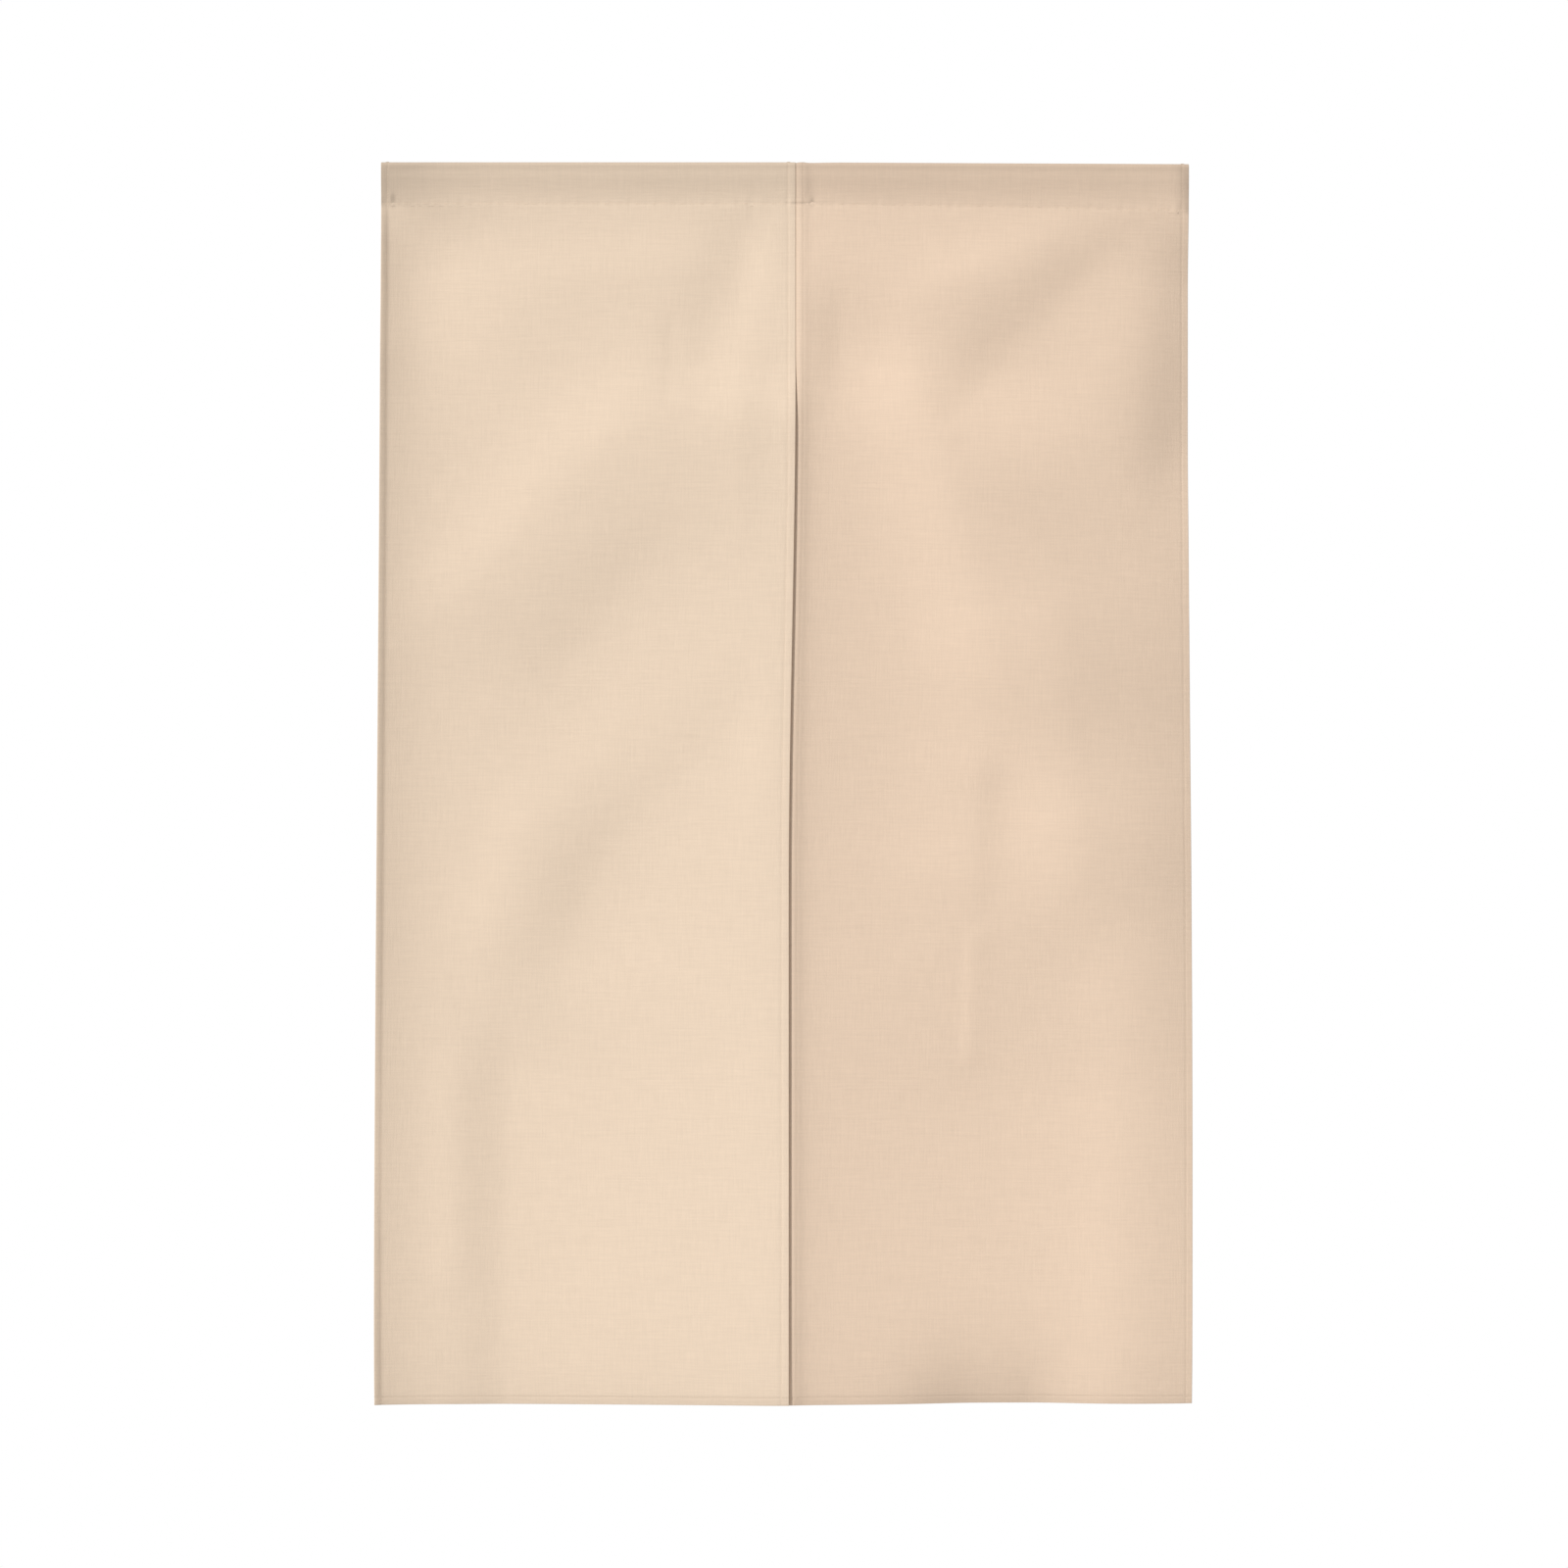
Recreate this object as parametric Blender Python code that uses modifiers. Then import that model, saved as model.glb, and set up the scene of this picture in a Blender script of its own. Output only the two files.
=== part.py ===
"""Noren curtain: two lapped cloth panels below an open rod sleeve, as they hang.

Metres, +Z up. The front faces -Y. The origin is the middle of the curtain's top edge.
A relief is how far the front of the cloth stands towards the viewer, so it is minus Y.
"""
import math
from collections import namedtuple

import bmesh
import bpy

# Outline
TOP_HALF_WIDTH = 0.4219
BOTTOM_LEFT = -0.4289
BOTTOM_RIGHT = 0.4264
HEIGHT = 1.299
TOP_RIGHT_DROP = 0.0020

# Cloth, one layer and a turned hem, and the gap between pieces that touch
LAYER = 0.0012
HEM_THICKNESS = 0.0020
SIDE_HEM = 0.008
BOTTOM_HEM = 0.009
HEM_STEP = 0.0006
PIECE_GAP = 0.0003

# Rod sleeve, a loop of cloth that is sewn shut along its foot
SLEEVE_HEIGHT = 0.0435
SLEEVE_RIGHT_DROP = 0.0073
SEAM_HALF_THICKNESS = 0.00125
SEAM_BAND = 0.0035
SLEEVE_JOIN_X = 0.0115

# Slit between the panels: the left panel lies in front, and the right one passes behind it
SLIT_TOP_X = 0.011
SLIT_DRIFT = 0.007
SLIT_DRIFT_START = 0.23
SLIT_DRIFT_LENGTH = 0.53
SLIT_START = 0.200
SLIT_OPENS_OVER = 0.075
UNDERLAP = 0.013
LAP_STEP = 0.0025
SLIT_GAP = 0.0048
SLIT_FALL = 0.0034
SLIT_FALL_REACH = 0.017
RIDGE_AT_SLIT = 0.015
LEFT_RIDGE_REACH = 0.22
RIGHT_RIDGE_REACH = 0.15

# Below the stitch line the cloth hangs plumb for a little, then its relief grows
PLUMB_BAND = 0.006
RELIEF_GROWS_OVER = 0.080
HANG_GROWS_OVER = 0.25

# Side edges, where the left one curls forwards and the right one backwards
LEFT_CURL = 0.010
LEFT_CURL_AT_TOP = 0.5
RIGHT_CURL = -0.0055
RIGHT_CURL_AT_TOP = 0.7
CURL_REACH = 0.035
HEM_KICK = 0.010
HEM_KICK_REACH = 0.058

Fold = namedtuple("Fold", "name top_x top_z foot_x foot_z left_width right_width depth")
Section = namedtuple("Section", "x half_depth closing_drop")

# Soft folds in millimetres, each along a line from its top to its foot.
# A positive depth stands towards the viewer, and a negative one is a trough.
# Its two sides may differ in width, and the right one is to the right of the way down.
LEFT_FOLDS = (
    Fold("corner_dip", -398, -62, -392, -110, 60, 95, -8.5),
    Fold("corner_fold", -428, -90, -425, -190, 25, 34, 3.0),
    Fold("shelf_swell", -110, -118, -300, -135, 52, 90, 3.2),
    Fold("join_trough", -20, -45, -80, -195, 44, 42, -4.2),
    Fold("near_ridge", -155, -288, -175, -302, 68, 120, 7.6),
    Fold("far_ridge", -292, -418, -308, -434, 54, 90, 5.6),
    Fold("middle_trough", -155, -442, -212, -515, 42, 70, -2.0),
    Fold("faint_trough", -50, -590, -150, -690, 36, 70, -1.6),
    Fold("small_ridge", -185, -625, -205, -650, 34, 90, 1.2),
    Fold("lower_trough", -196, -768, -205, -790, 42, 95, -3.8),
    Fold("low_knuckle", -272, -715, -292, -785, 40, 60, 3.0),
    Fold("long_valley", -283, -960, -292, -1290, 36, 110, -4.2),
    Fold("side_ridge", -346, -970, -344, -1140, 22, 22, 1.3),
)
RIGHT_FOLDS = (
    Fold("join_dip", 192, -226, 110, -200, 62, 60, -9.6),
    Fold("left_shoulder", 172, -290, 222, -480, 74, 125, 17.0),
    Fold("shoulder_tail", 197, -645, 190, -735, 62, 26, 2.6),
    Fold("top_swell", 255, -92, 185, -125, 34, 44, 2.4),
    Fold("right_drag", 352, -95, 203, -245, 44, 95, -4.4),
    Fold("right_shoulder", 409, -148, 250, -303, 60, 60, 1.0),
    Fold("side_turn", 438, -140, 424, -290, 46, 60, -9.0),
    Fold("middle_swell", 302, -565, 314, -675, 68, 130, 9.5),
    Fold("broad_swell", 300, -750, 235, -775, 90, 70, 4.0),
    Fold("lower_dip", 320, -985, 240, -995, 85, 320, -4.6),
    Fold("side_ridge", 362, -860, 352, -1240, 45, 58, 3.0),
    Fold("hem_dip", 250, -1365, 205, -1365, 88, 38, -25.0),
)
FOLD_END_TAPER = 1.7

# Sections along the sleeve in millimetres: its half depth, and the drop at which it starts to close
SLEEVE_SECTIONS = (
    Section(-422, 4.7, 15.5),
    Section(-350, 4.9, 14.5),
    Section(-250, 4.7, 16.0),
    Section(-140, 5.0, 15.0),
    Section(-50, 4.8, 15.5),
    Section(0, 4.7, 14.5),
    Section(25, 4.7, 14.5),
    Section(80, 4.9, 15.5),
    Section(180, 4.7, 16.0),
    Section(290, 5.0, 15.0),
    Section(370, 4.8, 15.5),
    Section(422, 4.7, 15.0),
)
SLEEVE_SPACING = 0.052
ROLL_STEPS = 4
SIDE_STEPS = 6

# Grid lines of a panel: distances from its outer edge, from its slit edge, and down from its top
OUTER_COLUMNS = (0.0, SIDE_HEM, SIDE_HEM + HEM_STEP, 0.020, 0.034, 0.052)
SLIT_COLUMNS = (0.080, 0.056, 0.038, 0.024, 0.0145, SIDE_HEM + HEM_STEP, SIDE_HEM, 0.0)
TOP_ROWS = (0.0, 0.006, 0.016, 0.030)
BOTTOM_ROWS = (BOTTOM_HEM + HEM_STEP, BOTTOM_HEM, 0.0)
COLUMN_SPACING = 0.029
ROW_SPACING = 0.031

MM = 0.001


def clear_scene():
    for item in list(bpy.data.objects):
        bpy.data.objects.remove(item, do_unlink=True)


def smooth_step(t):
    t = min(max(t, 0.0), 1.0)
    return t * t * (3.0 - 2.0 * t)


def top_z(x):
    """The top edge is level at the left and drops a little towards the right corner."""
    return -TOP_RIGHT_DROP * max(x, 0.0) / TOP_HALF_WIDTH


def seam_z(x):
    """The sleeve's stitch line, which slopes down towards the right corner."""
    return -SLEEVE_HEIGHT - SLEEVE_RIGHT_DROP * (max(x, 0.0) / TOP_HALF_WIDTH) ** 1.5


def left_edge_x(z):
    return -TOP_HALF_WIDTH + (BOTTOM_LEFT + TOP_HALF_WIDTH) * smooth_step(-z / HEIGHT)


def right_edge_x(z):
    return TOP_HALF_WIDTH + (BOTTOM_RIGHT - TOP_HALF_WIDTH) * smooth_step((-z - 0.3) / 0.75)


def slit_x(z):
    """The front panel's free edge at the slit, which drifts a little to the left going down."""
    return SLIT_TOP_X - SLIT_DRIFT * smooth_step((-z - SLIT_DRIFT_START) / SLIT_DRIFT_LENGTH)


def fold_relief(x, z, fold):
    """Depth times a bell across the fold's line and another past its ends."""
    run_x = (fold.foot_x - fold.top_x) * MM
    run_z = (fold.foot_z - fold.top_z) * MM
    length = math.hypot(run_x, run_z)
    from_x = x - fold.top_x * MM
    from_z = z - fold.top_z * MM
    along = (from_x * run_x + from_z * run_z) / length
    across = (from_z * run_x - from_x * run_z) / length
    past_end = max(-along, 0.0) + max(along - length, 0.0)
    width = (fold.left_width if across < 0.0 else fold.right_width) * MM
    end_width = FOLD_END_TAPER * min(fold.left_width, fold.right_width) * MM
    bell = (across / width) ** 2 + (past_end / end_width) ** 2
    return fold.depth * MM * math.exp(-bell)


def all_folds(x, z, folds, from_slit):
    """The sum of a panel's folds, which leave the lapped strip along the slit alone."""
    total = sum(fold_relief(x, z, fold) for fold in folds)
    return total * smooth_step((from_slit - UNDERLAP) / 0.05)


def hem_kick(z):
    """The bottom hem's small backward kick."""
    return HEM_KICK * math.exp(-max(z + HEIGHT, 0.0) / HEM_KICK_REACH)


def side_curl(curl, at_top, from_side, hang):
    """A curl at a side edge: its share at the top eases to 1 lower down."""
    return curl * math.exp(-((from_side / CURL_REACH) ** 1.2)) * (at_top + (1.0 - at_top) * hang)


def slit_opening(z):
    """0 where the panels are joined, easing to 1 where the slit is open."""
    return smooth_step((-z - SLIT_START) / SLIT_OPENS_OVER)


def grown(drop):
    """Share of the full relief at a drop below the stitch line, growing fastest at its top."""
    left_over = 1.0 - min(max((drop - PLUMB_BAND) / RELIEF_GROWS_OVER, 0.0), 1.0)
    return 1.0 - left_over ** 2


def left_relief(x, z):
    """The front panel comes forward to the slit, more so once the slit is open."""
    drop = seam_z(x) - z
    hang = smooth_step(drop / HANG_GROWS_OVER)
    from_slit = max(slit_x(z) - x, 0.0)
    from_side = max(x - left_edge_x(z), 0.0)
    relief = all_folds(x, z, LEFT_FOLDS, from_slit)
    relief += RIDGE_AT_SLIT * hang * math.exp(-((from_slit / LEFT_RIDGE_REACH) ** 1.5))
    relief += SLIT_GAP * slit_opening(z) * math.exp(-((from_slit / 0.075) ** 1.5))
    relief += side_curl(LEFT_CURL, LEFT_CURL_AT_TOP, from_side, hang)
    return SEAM_HALF_THICKNESS + relief * grown(drop) - hem_kick(z)


def right_relief(x, z):
    """The panel behind: its lapped strip lies a step back, and above the slit it comes forward again."""
    drop = seam_z(x) - z
    hang = smooth_step(drop / HANG_GROWS_OVER)
    from_slit = max(x - slit_x(z), 0.0)
    from_side = max(right_edge_x(z) - x, 0.0)
    opening = slit_opening(z)
    relief = all_folds(x, z, RIGHT_FOLDS, from_slit + UNDERLAP)
    relief += RIDGE_AT_SLIT * hang * math.exp(-((from_slit / RIGHT_RIDGE_REACH) ** 1.3))
    relief += SLIT_FALL * opening * math.exp(-((from_slit / SLIT_FALL_REACH) ** 1.3))
    relief += side_curl(RIGHT_CURL, RIGHT_CURL_AT_TOP, from_side, hang)
    step_back = LAP_STEP * (1.0 - smooth_step((from_slit - 0.001) / (0.014 + 0.2 * opening)))
    return SEAM_HALF_THICKNESS + relief * grown(drop) - step_back - hem_kick(z)


def evenly_between(first, last, spacing):
    """Even stops strictly between two values."""
    count = max(1, round(abs(last - first) / spacing))
    return [first + (last - first) * index / count for index in range(1, count)]


def panel_columns(width):
    """Fractions across a panel, from its outer edge to its slit edge."""
    near = [distance / width for distance in OUTER_COLUMNS]
    far = [1.0 - distance / width for distance in SLIT_COLUMNS]
    return near + evenly_between(near[-1], far[0], COLUMN_SPACING / width) + far


def panel_rows():
    """Fractions down a panel, from its top edge to its bottom edge."""
    length = HEIGHT - SLEEVE_HEIGHT
    near = [distance / length for distance in TOP_ROWS]
    far = [1.0 - distance / length for distance in BOTTOM_ROWS]
    return near + evenly_between(near[-1], far[0], ROW_SPACING / length) + far


def grid_mesh(name, columns, rows, place):
    """A grid sheet whose lines stand at the given fractions and whose points come from place."""
    mesh = bpy.data.meshes.new(name)
    bm = bmesh.new()
    last_column = len(columns) - 1
    last_row = len(rows) - 1
    bmesh.ops.create_grid(bm, x_segments=last_column, y_segments=last_row, size=1.0)
    hem_vertices = []
    for vertex in bm.verts:
        column = round((vertex.co.x + 1.0) / 2.0 * last_column)
        row = round((1.0 - vertex.co.y) / 2.0 * last_row)
        vertex.co = place(columns[column], rows[row])
        in_side_hem = column <= 1 or column >= last_column - 1
        if in_side_hem or row >= last_row - 1:
            hem_vertices.append(vertex.index)
    bm.to_mesh(mesh)
    bm.free()
    return mesh, hem_vertices


def cloth_panel(name, columns, place, material):
    """One cloth sheet, thicker in its turned hems, which lie at its back."""
    mesh, hem_vertices = grid_mesh(name, columns, panel_rows(), place)
    panel = bpy.data.objects.new(name, mesh)
    hems = panel.vertex_groups.new(name="hems")
    hems.add(hem_vertices, 1.0, "REPLACE")
    solid = panel.modifiers.new("thickness", "SOLIDIFY")
    solid.thickness = HEM_THICKNESS
    solid.offset = -1.0
    solid.vertex_group = hems.name
    solid.thickness_vertex_group = LAYER / HEM_THICKNESS
    solid.use_even_offset = True
    solid.use_quality_normals = True
    mesh.materials.append(material)
    mesh.shade_smooth()
    mesh.set_sharp_from_angle(angle=math.radians(50))
    return panel


def hanging_z(x, down):
    """Height of a point the given fraction down a panel."""
    top = seam_z(x) - PIECE_GAP
    return top + (-HEIGHT - top) * down


def left_panel(material):
    def place(across, down):
        z = hanging_z(left_edge_x(0.0), down)
        x = left_edge_x(z) + (slit_x(z) - left_edge_x(z)) * across
        z = hanging_z(x, down)
        return x, -left_relief(x, z), z

    columns = panel_columns(TOP_HALF_WIDTH + SLIT_TOP_X)
    return cloth_panel("panel_left", columns, place, material)


def right_panel(material):
    def place(across, down):
        z = hanging_z(right_edge_x(0.0), down)
        inner = slit_x(z) - UNDERLAP
        x = right_edge_x(z) + (inner - right_edge_x(z)) * (1.0 - across)
        z = hanging_z(x, down)
        return x, -right_relief(x, z), z

    columns = panel_columns(TOP_HALF_WIDTH - SLIT_TOP_X + UNDERLAP)
    mirrored = [1.0 - fraction for fraction in reversed(columns)]
    return cloth_panel("panel_right", mirrored, place, material)


def sleeve_section(x):
    """Half depth and closing drop of the sleeve at x, in metres, read from its table."""
    for near, far in zip(SLEEVE_SECTIONS, SLEEVE_SECTIONS[1:]):
        if x <= far.x * MM or far is SLEEVE_SECTIONS[-1]:
            share = (x - near.x * MM) / ((far.x - near.x) * MM)
            half_depth = near.half_depth + (far.half_depth - near.half_depth) * share
            closing_drop = near.closing_drop + (far.closing_drop - near.closing_drop) * share
            return half_depth * MM, closing_drop * MM


def sleeve_half_ring(x, wall):
    """Front half of the sleeve's section at x as depth and height pairs, outer then inner, foot to crown."""
    half_depth, closing_drop = sleeve_section(x)
    crown = top_z(x)
    foot = seam_z(x)
    roll_z = crown - half_depth
    close_z = crown - closing_drop
    outer = [(0.0, foot), (SEAM_HALF_THICKNESS, foot)]
    inner = [(0.0, foot + SEAM_BAND), (0.0002, foot + SEAM_BAND + 0.0002)]
    for step in range(1, SIDE_STEPS + 1):
        share = step / (SIDE_STEPS + 1)
        z = foot + SEAM_BAND + (roll_z - foot - SEAM_BAND) * share
        full = smooth_step((z - foot) / (close_z - foot))
        depth = SEAM_HALF_THICKNESS + (half_depth - SEAM_HALF_THICKNESS) * full
        outer.append((depth, z))
        inner.append((max(depth - wall, 0.0003), z))
    for step in range(ROLL_STEPS + 1):
        angle = 0.5 * math.pi * step / ROLL_STEPS
        outer.append((half_depth * math.cos(angle), roll_z + half_depth * math.sin(angle)))
        inner.append(((half_depth - wall) * math.cos(angle), roll_z + (half_depth - wall) * math.sin(angle)))
    return outer, inner


def closed_ring(bm, x, half):
    """The vertices of a whole section, made from its front half and the same half behind."""
    front = [bm.verts.new((x, -depth, z)) for depth, z in half]
    back = [bm.verts.new((x, depth, z)) for depth, z in reversed(half[1:-1])]
    return front + back


def bridge(bm, ring_a, ring_b):
    for index in range(len(ring_a)):
        after = (index + 1) % len(ring_a)
        bm.faces.new((ring_a[index], ring_a[after], ring_b[after], ring_b[index]))


def sleeve_half(name, outer_x, join_x, material):
    """An open tube of cloth, lofted through its sections, with a thicker hem round its outer mouth."""
    inward = 1.0 if join_x > outer_x else -1.0
    hem_x = outer_x + inward * SIDE_HEM
    step_x = hem_x + inward * HEM_STEP
    stations = [outer_x, hem_x, step_x] + evenly_between(step_x, join_x, SLEEVE_SPACING) + [join_x]
    mesh = bpy.data.meshes.new(name)
    bm = bmesh.new()
    rings = []
    for index, x in enumerate(stations):
        wall = HEM_THICKNESS if index < 2 else LAYER
        outer, inner = sleeve_half_ring(x, wall)
        rings.append((closed_ring(bm, x, outer), closed_ring(bm, x, inner)))
    for (outer_a, inner_a), (outer_b, inner_b) in zip(rings, rings[1:]):
        bridge(bm, outer_a, outer_b)
        bridge(bm, inner_b, inner_a)
    bridge(bm, rings[0][1], rings[0][0])
    bridge(bm, rings[-1][0], rings[-1][1])
    bmesh.ops.recalc_face_normals(bm, faces=bm.faces)
    bm.to_mesh(mesh)
    bm.free()
    mesh.materials.append(material)
    mesh.shade_smooth()
    mesh.set_sharp_from_angle(angle=math.radians(50))
    return bpy.data.objects.new(name, mesh)


def cloth_material(name, colour):
    material = bpy.data.materials.new(name)
    material.use_nodes = True
    shader = material.node_tree.nodes["Principled BSDF"]
    shader.inputs["Base Color"].default_value = (*colour, 1.0)
    shader.inputs["Roughness"].default_value = 0.9
    shader.inputs["Metallic"].default_value = 0.0
    return material


def panel_cloth(name):
    return cloth_material(name, (0.83, 0.67, 0.51))


def sleeve_cloth(name):
    """Two layers of the same cloth look a shade darker."""
    return cloth_material(name, (0.74, 0.58, 0.44))


def main():
    clear_scene()
    curtain = bpy.data.collections.new("noren_curtain")
    bpy.context.scene.collection.children.link(curtain)
    half_gap = PIECE_GAP / 2.0
    pieces = (
        left_panel(panel_cloth("left_panel_cloth")),
        right_panel(panel_cloth("right_panel_cloth")),
        sleeve_half("sleeve_left", -TOP_HALF_WIDTH, SLEEVE_JOIN_X - half_gap, sleeve_cloth("left_sleeve_cloth")),
        sleeve_half("sleeve_right", TOP_HALF_WIDTH, SLEEVE_JOIN_X + half_gap, sleeve_cloth("right_sleeve_cloth")),
    )
    for piece in pieces:
        curtain.objects.link(piece)


main()
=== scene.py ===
import math
import bpy
import numpy as np
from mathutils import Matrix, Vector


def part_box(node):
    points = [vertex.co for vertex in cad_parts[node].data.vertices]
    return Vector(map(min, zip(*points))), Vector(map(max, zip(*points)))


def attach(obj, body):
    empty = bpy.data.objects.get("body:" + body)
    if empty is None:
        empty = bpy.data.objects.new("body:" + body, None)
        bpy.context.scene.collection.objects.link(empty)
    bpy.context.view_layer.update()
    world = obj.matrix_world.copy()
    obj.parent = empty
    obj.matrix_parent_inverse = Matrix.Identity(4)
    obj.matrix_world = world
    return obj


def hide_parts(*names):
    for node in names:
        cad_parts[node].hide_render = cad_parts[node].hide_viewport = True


# Noren curtain: two lapped panels with turned hems, a rod sleeve folded from their cloth, and the sewing.
# Metres, +Z up, the front faces -Y. A relief is how far cloth stands towards the viewer, so it is minus Y.
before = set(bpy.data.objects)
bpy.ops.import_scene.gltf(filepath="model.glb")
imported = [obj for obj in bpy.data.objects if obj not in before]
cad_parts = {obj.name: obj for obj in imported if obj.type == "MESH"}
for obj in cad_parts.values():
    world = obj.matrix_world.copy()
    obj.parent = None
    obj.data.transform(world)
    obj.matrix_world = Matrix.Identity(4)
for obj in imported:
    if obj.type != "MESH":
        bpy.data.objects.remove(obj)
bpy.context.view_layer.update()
print("frame loaded, nodes:", sorted(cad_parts))

mm = 0.001
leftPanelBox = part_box("panel_left")
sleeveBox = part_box("sleeve_left")

outline = {
    "topHalfWidth": -sleeveBox[0][0],
    "bottomLeft": -0.4289,
    "bottomRight": 0.4264,
    "bottomZ": leftPanelBox[0][2],
    "topRightDrop": 0.0020,
    "sleeveHeight": 0.0435,
    "sleeveRightDrop": 0.0073,
    "slitTopX": 0.0110,
    "slitDrift": 0.0070,
    "slitDriftFrom": 0.23,
    "slitDriftOver": 0.53,
    "slitStart": 0.200,
    "slitOpensOver": 0.075,
    "underlap": 0.0130,
}

cloth = {
    "thickness": 0.00024,
    "layerPitch": 0.00026,      # from the middle of one layer to the middle of the next
    "bottomHem": 0.0090,
    "bottomStitchIn": 0.0079,   # stitch lines are measured in from their edge
    "rawEdgeIn": 0.0016,        # a raw edge stops this short of the hem's fold
    "sleeveAllowance": 0.0090,
    "belowSeam": 0.0025,        # how far the sleeve's back reaches below its stitch line
    "gridStep": 0.0042,
    "rowStep": 0.0048,
}

hang = {
    "seamRelief": 0.00125,      # front of the cloth at the sleeve's stitch line
    "plumbBand": 0.001,         # the cloth hangs plumb this far below it
    "reliefGrowsOver": 0.080,
    "hangGrowsOver": 0.25,
    "foldsFadeOver": 0.05,      # folds fade out towards the slit
    "ridgeAtSlit": 0.015,
    "leftRidge": (0.22, 1.5),   # reach and power with which the ridge dies away from the slit
    "rightRidge": (0.15, 1.3),
    "slitGap": 0.0048,
    "slitGapAway": (0.075, 1.5),
    "slitFall": 0.0034,         # how far the right panel stands forward again beside the open slit
    "slitFallAway": (0.017, 1.3),
    "lapStep": 0.00080,
    "lapRecovers": 0.05,
    "slitStepMore": 0.0012,     # added to the lap's step where the slit is open
    "slitRecoversMore": 0.16,
    "hemSwell": 0.0009,
    "hemSwellAt": 0.0062,
    "hemSwellStart": 0.003,
    "leftCurl": 0.010,
    "leftCurlAtTop": 0.5,       # share of the curl at the stitch line
    "rightCurl": -0.0055,
    "rightCurlAtTop": 0.7,
    "curlAway": (0.035, 1.2),
    "hemKick": 0.010,
    "hemKickReach": 0.058,
    "hemTilt": 0.0018,          # how far the left panel's stiff side hem tips forward
    "hemTiltOver": 0.010,
    "tiltPause": (0.7, -1.02, 0.13),    # share by which the tilt drops, at what z, and its reach
}

# Folds in mm: name, top x, top z, foot x, foot z, left width, right width, depth. A minus depth is a
# trough, and the right side is the one to the right of the way down
leftFolds = [
    ("cornerDip", -398, -62, -392, -110, 60, 95, -8.5),
    ("cornerFold", -428, -90, -425, -190, 25, 34, 3.0),
    ("shelfSwell", -110, -118, -300, -135, 52, 90, 3.2),
    ("joinTrough", -20, -45, -80, -195, 44, 42, -4.2),
    ("fineCrease", -119, -172, -121, -240, 8, 10, -0.5),
    ("nearRidge", -155, -288, -175, -302, 68, 120, 7.6),
    ("farRidge", -292, -418, -308, -434, 54, 90, 5.6),
    ("middleTrough", -155, -442, -212, -515, 42, 70, -2.0),
    ("faintTrough", -50, -590, -150, -690, 36, 70, -1.6),
    ("smallRidge", -185, -625, -205, -650, 34, 90, 1.2),
    ("lowerTrough", -196, -768, -205, -790, 42, 95, -3.8),
    ("lowKnuckle", -272, -715, -292, -785, 40, 60, 3.0),
    ("longValley", -283, -960, -292, -1290, 36, 110, -4.2),
    ("sideRidge", -346, -970, -344, -1140, 22, 22, 1.3),
]
rightFolds = [
    ("joinDip", 192, -226, 110, -200, 62, 60, -9.6),
    ("leftShoulder", 172, -290, 222, -480, 74, 125, 17.0),
    ("shoulderTail", 197, -645, 190, -735, 62, 26, 2.6),
    ("topSwell", 255, -92, 185, -125, 34, 44, 2.4),
    ("rightDrag", 352, -95, 203, -245, 44, 95, -4.4),
    ("rightShoulder", 409, -148, 250, -303, 60, 60, 1.0),
    ("sideTurn", 438, -140, 424, -290, 46, 60, -9.0),
    ("middleSwell", 302, -565, 314, -675, 68, 130, 9.5),
    ("broadSwell", 300, -750, 235, -775, 90, 70, 4.0),
    ("lowerDip", 320, -985, 240, -995, 85, 320, -4.6),
    ("fineRidge", 196, -815, 192, -930, 7, 20, 0.8),
    ("sideRidge", 362, -860, 352, -1240, 45, 58, 3.0),
    ("hemDip", 250, -1365, 205, -1365, 88, 38, -25.0),
]

rollShare = 0.165               # share of the sleeve's path that its quarter circle takes
evenClosing = 0.4               # share of the sleeve's closing that is even, the rest being a smooth step
foldEnd = 1.7                   # a fold's reach past its ends, in its narrower widths

# Sleeve sections in mm: x, half depth, drop at which it starts to close
sleeveSections = np.array([
    (-422, 4.7, 15.5),
    (-350, 4.9, 14.5),
    (-250, 4.7, 16.0),
    (-140, 5.0, 15.0),
    (-50, 4.8, 15.5),
    (0, 4.7, 14.5),
    (25, 4.7, 14.5),
    (80, 4.9, 15.5),
    (180, 4.7, 16.0),
    (290, 5.0, 15.0),
    (370, 4.8, 15.5),
    (422, 4.7, 15.0),
]) * mm


def ease(t):
    # smooth step: 3 t squared minus 2 t cubed, held at 0 and 1
    t = np.clip(t, 0.0, 1.0)
    return t * t * (3.0 - 2.0 * t)


def bell(distance, reach):
    # Gaussian bell: e to the minus (distance over reach) squared
    return np.exp(-((distance / reach) ** 2))


def dying(distance, away):
    # e to the minus (distance over reach) to a power
    reach, power = away
    return np.exp(-((distance / reach) ** power))


def topZ(x):
    # top edge, level at the left, with a small even fall to the right corner
    return -outline["topRightDrop"] * np.clip(x, 0.0, None) / outline["topHalfWidth"]


def seamZ(x):
    # the sleeve's stitch line, which falls towards the right corner with x to the power 1.5
    share = np.clip(x, 0.0, None) / outline["topHalfWidth"]
    return -outline["sleeveHeight"] - outline["sleeveRightDrop"] * share ** 1.5


def leftEdgeX(z):
    # outer edge of the left panel, easing outwards all the way down
    top = -outline["topHalfWidth"]
    return top + (outline["bottomLeft"] - top) * ease(z / outline["bottomZ"])


def rightEdgeX(z):
    # outer edge of the right panel, easing outwards from 0.3 m to 1.05 m down
    top = outline["topHalfWidth"]
    return top + (outline["bottomRight"] - top) * ease((-z - 0.3) / 0.75)


def slitX(z):
    # free edge of the front panel, which drifts to the left below the join
    down = (-z - outline["slitDriftFrom"]) / outline["slitDriftOver"]
    return outline["slitTopX"] - outline["slitDrift"] * ease(down)


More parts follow.
